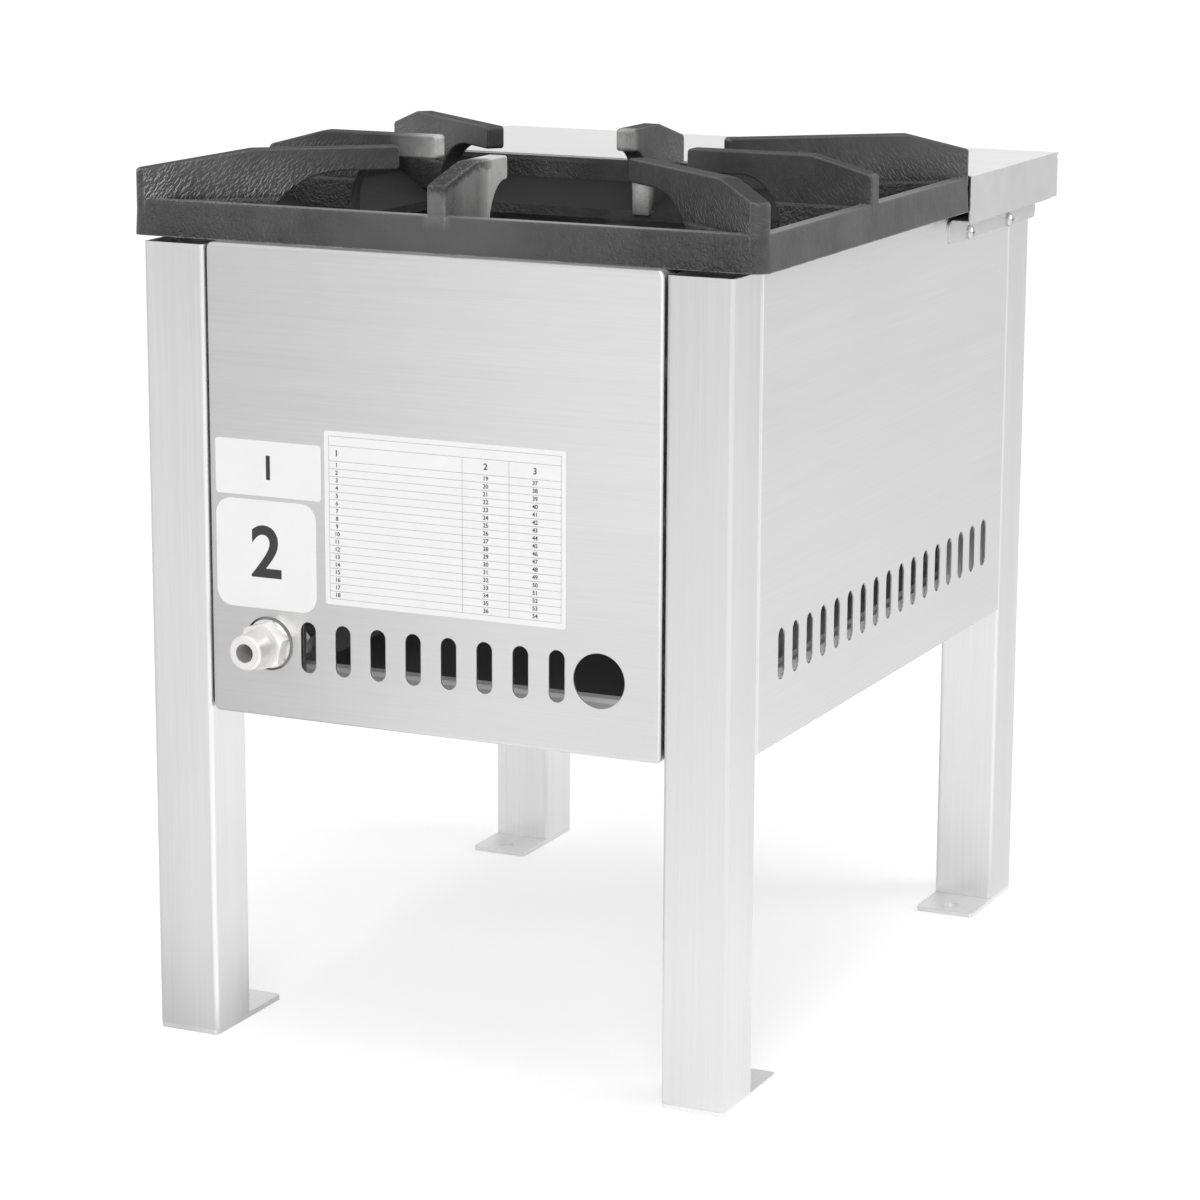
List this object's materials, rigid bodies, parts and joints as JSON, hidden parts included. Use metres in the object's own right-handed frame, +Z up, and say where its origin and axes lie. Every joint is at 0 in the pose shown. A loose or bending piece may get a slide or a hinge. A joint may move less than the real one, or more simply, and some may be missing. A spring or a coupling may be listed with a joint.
{
  "type": "stock pot range",
  "caption": "Low single-burner gas stock pot range: square-tube stand, folded sheet body, cast pan support with inward fingers, drip tray, knob and rear gas inlet",
  "frame": {"origin": "on the floor, in the middle of the range's overall width and depth", "axes": "+Z up; the cook stands at -Y and the gas inlet is at +Y; +X is the cook's right"},
  "size_m": [0.4016, 0.556, 0.53],
  "materials": {
    "stainless_tube": "fine lengthwise brushing",
    "stainless_plate": "plain mill finish",
    "stainless_sheet": "brushed, folded sheet",
    "handle_steel": "polished round bar",
    "bright_fastener": "bright",
    "cast_iron": "dark coated casting, worn light at some finger ends",
    "burner_iron": "grey casting, machined seats",
    "zinc_sheet": "zinc plated",
    "brass": "machined",
    "brass_nuts": "machined",
    "steel_pin": "turned",
    "spring_steel": "drawn wire",
    "black_plastic": "moulded",
    "scale_plate": "satin with plain marks",
    "nickel": "nickel plated",
    "washer_grey": "fibre",
    "locknut_steel": "zinc plated",
    "gas_pipe_steel": "plain tube",
    "aluminium_tube": "bent tube",
    "copper_lead": "copper",
    "ceramic": "glazed ceramic",
    "button_plastic": "moulded",
    "lead_insulation": "silicone",
    "label_white": "plain plates"
  },
  "bodies": {
    "frame": {"leg_front_left": "stainless_tube", "leg_front_right": "stainless_tube", "leg_rear_left": "stainless_tube", "leg_rear_right": "stainless_tube", "foot_plate_front_left": "stainless_plate", "foot_plate_front_right": "stainless_plate", "foot_plate_rear_left": "stainless_plate", "foot_plate_rear_right": "stainless_plate", "rear_panel": "stainless_sheet", "front_panel": "stainless_sheet", "side_panel_left": "stainless_sheet", "side_panel_right": "stainless_sheet", "front_crossmember": "stainless_sheet", "front_deck": "stainless_sheet", "tray_runner_left": "stainless_sheet", "tray_runner_right": "stainless_sheet", "burner_rail_left": "stainless_sheet", "burner_rail_right": "stainless_sheet", "burner_bar_front": "stainless_sheet", "burner_bar_rear": "stainless_sheet", "pilot_bracket": "stainless_sheet", "inlet_bracket": "stainless_sheet", "deck_screws": "bright_fastener", "burner_bar_bolts": "bright_fastener", "burner_bolts": "bright_fastener", "valve_nut": "bright_fastener", "igniter_nut": "bright_fastener", "burner_body": "burner_iron", "injector_holder": "brass", "injector": "brass", "valve_body": "brass", "pilot_burner": "brass", "feed_tube_nuts": "brass_nuts", "magnet_unit": "steel_pin", "push_spring": "spring_steel", "igniter_body": "black_plastic", "knob_scale": "scale_plate", "gas_inlet": "nickel", "inlet_washer": "washer_grey", "inlet_locknut": "locknut_steel", "gas_pipe_nuts": "locknut_steel", "gas_pipe": "gas_pipe_steel", "feed_tube": "aluminium_tube", "pilot_tube": "aluminium_tube", "thermocouple": "copper_lead", "spark_electrode": "ceramic", "igniter_lead": "lead_insulation", "rear_labels": "label_white"},
    "push_rod": {"push_rod": "steel_pin"},
    "knob": {"control_knob": "black_plastic", "valve_spindle": "steel_pin"},
    "button": {"igniter_button": "button_plastic"},
    "tray": {"drip_tray": "stainless_sheet", "tray_front": "stainless_sheet", "tray_handle": "handle_steel", "handle_screws": "bright_fastener"},
    "pan_support": {"pan_support": "cast_iron"},
    "burner_head": {"burner_head": "burner_iron"},
    "shutter": {"air_shutter": "zinc_sheet"}
  },
  "joints": [
    {"name": "knob_push", "type": "slide", "parent": "frame", "child": "push_rod", "axis": [0, 1, 0], "range_m": [0, 0.0035], "stiffness_N_per_m": 800, "deforming": ["push_spring"]},
    {"name": "knob_turn", "type": "hinge", "parent": "push_rod", "child": "knob", "pos_m": [0.05, -0.2543, 0.425], "axis": [0, -1, 0], "range_deg": [0, 180]},
    {"name": "igniter_push", "type": "slide", "parent": "frame", "child": "button", "axis": [0, 1, 0], "range_m": [0, 0.005], "stiffness_N_per_m": 800},
    {"name": "tray_slide", "type": "slide", "parent": "frame", "child": "tray", "axis": [0, -1, 0], "range_m": [0, 0.3]},
    {"name": "pan_support_lift", "type": "slide", "parent": "frame", "child": "pan_support", "axis": [0, 0, 1], "range_m": [0, 0.08]},
    {"name": "burner_head_lift", "type": "slide", "parent": "frame", "child": "burner_head", "axis": [0, 0, 1], "range_m": [0, 0.05]},
    {"name": "shutter_turn", "type": "hinge", "parent": "frame", "child": "shutter", "pos_m": [0, -0.15105, 0.425], "axis": [0, 1, 0], "range_deg": [0, 45]}
  ]
}
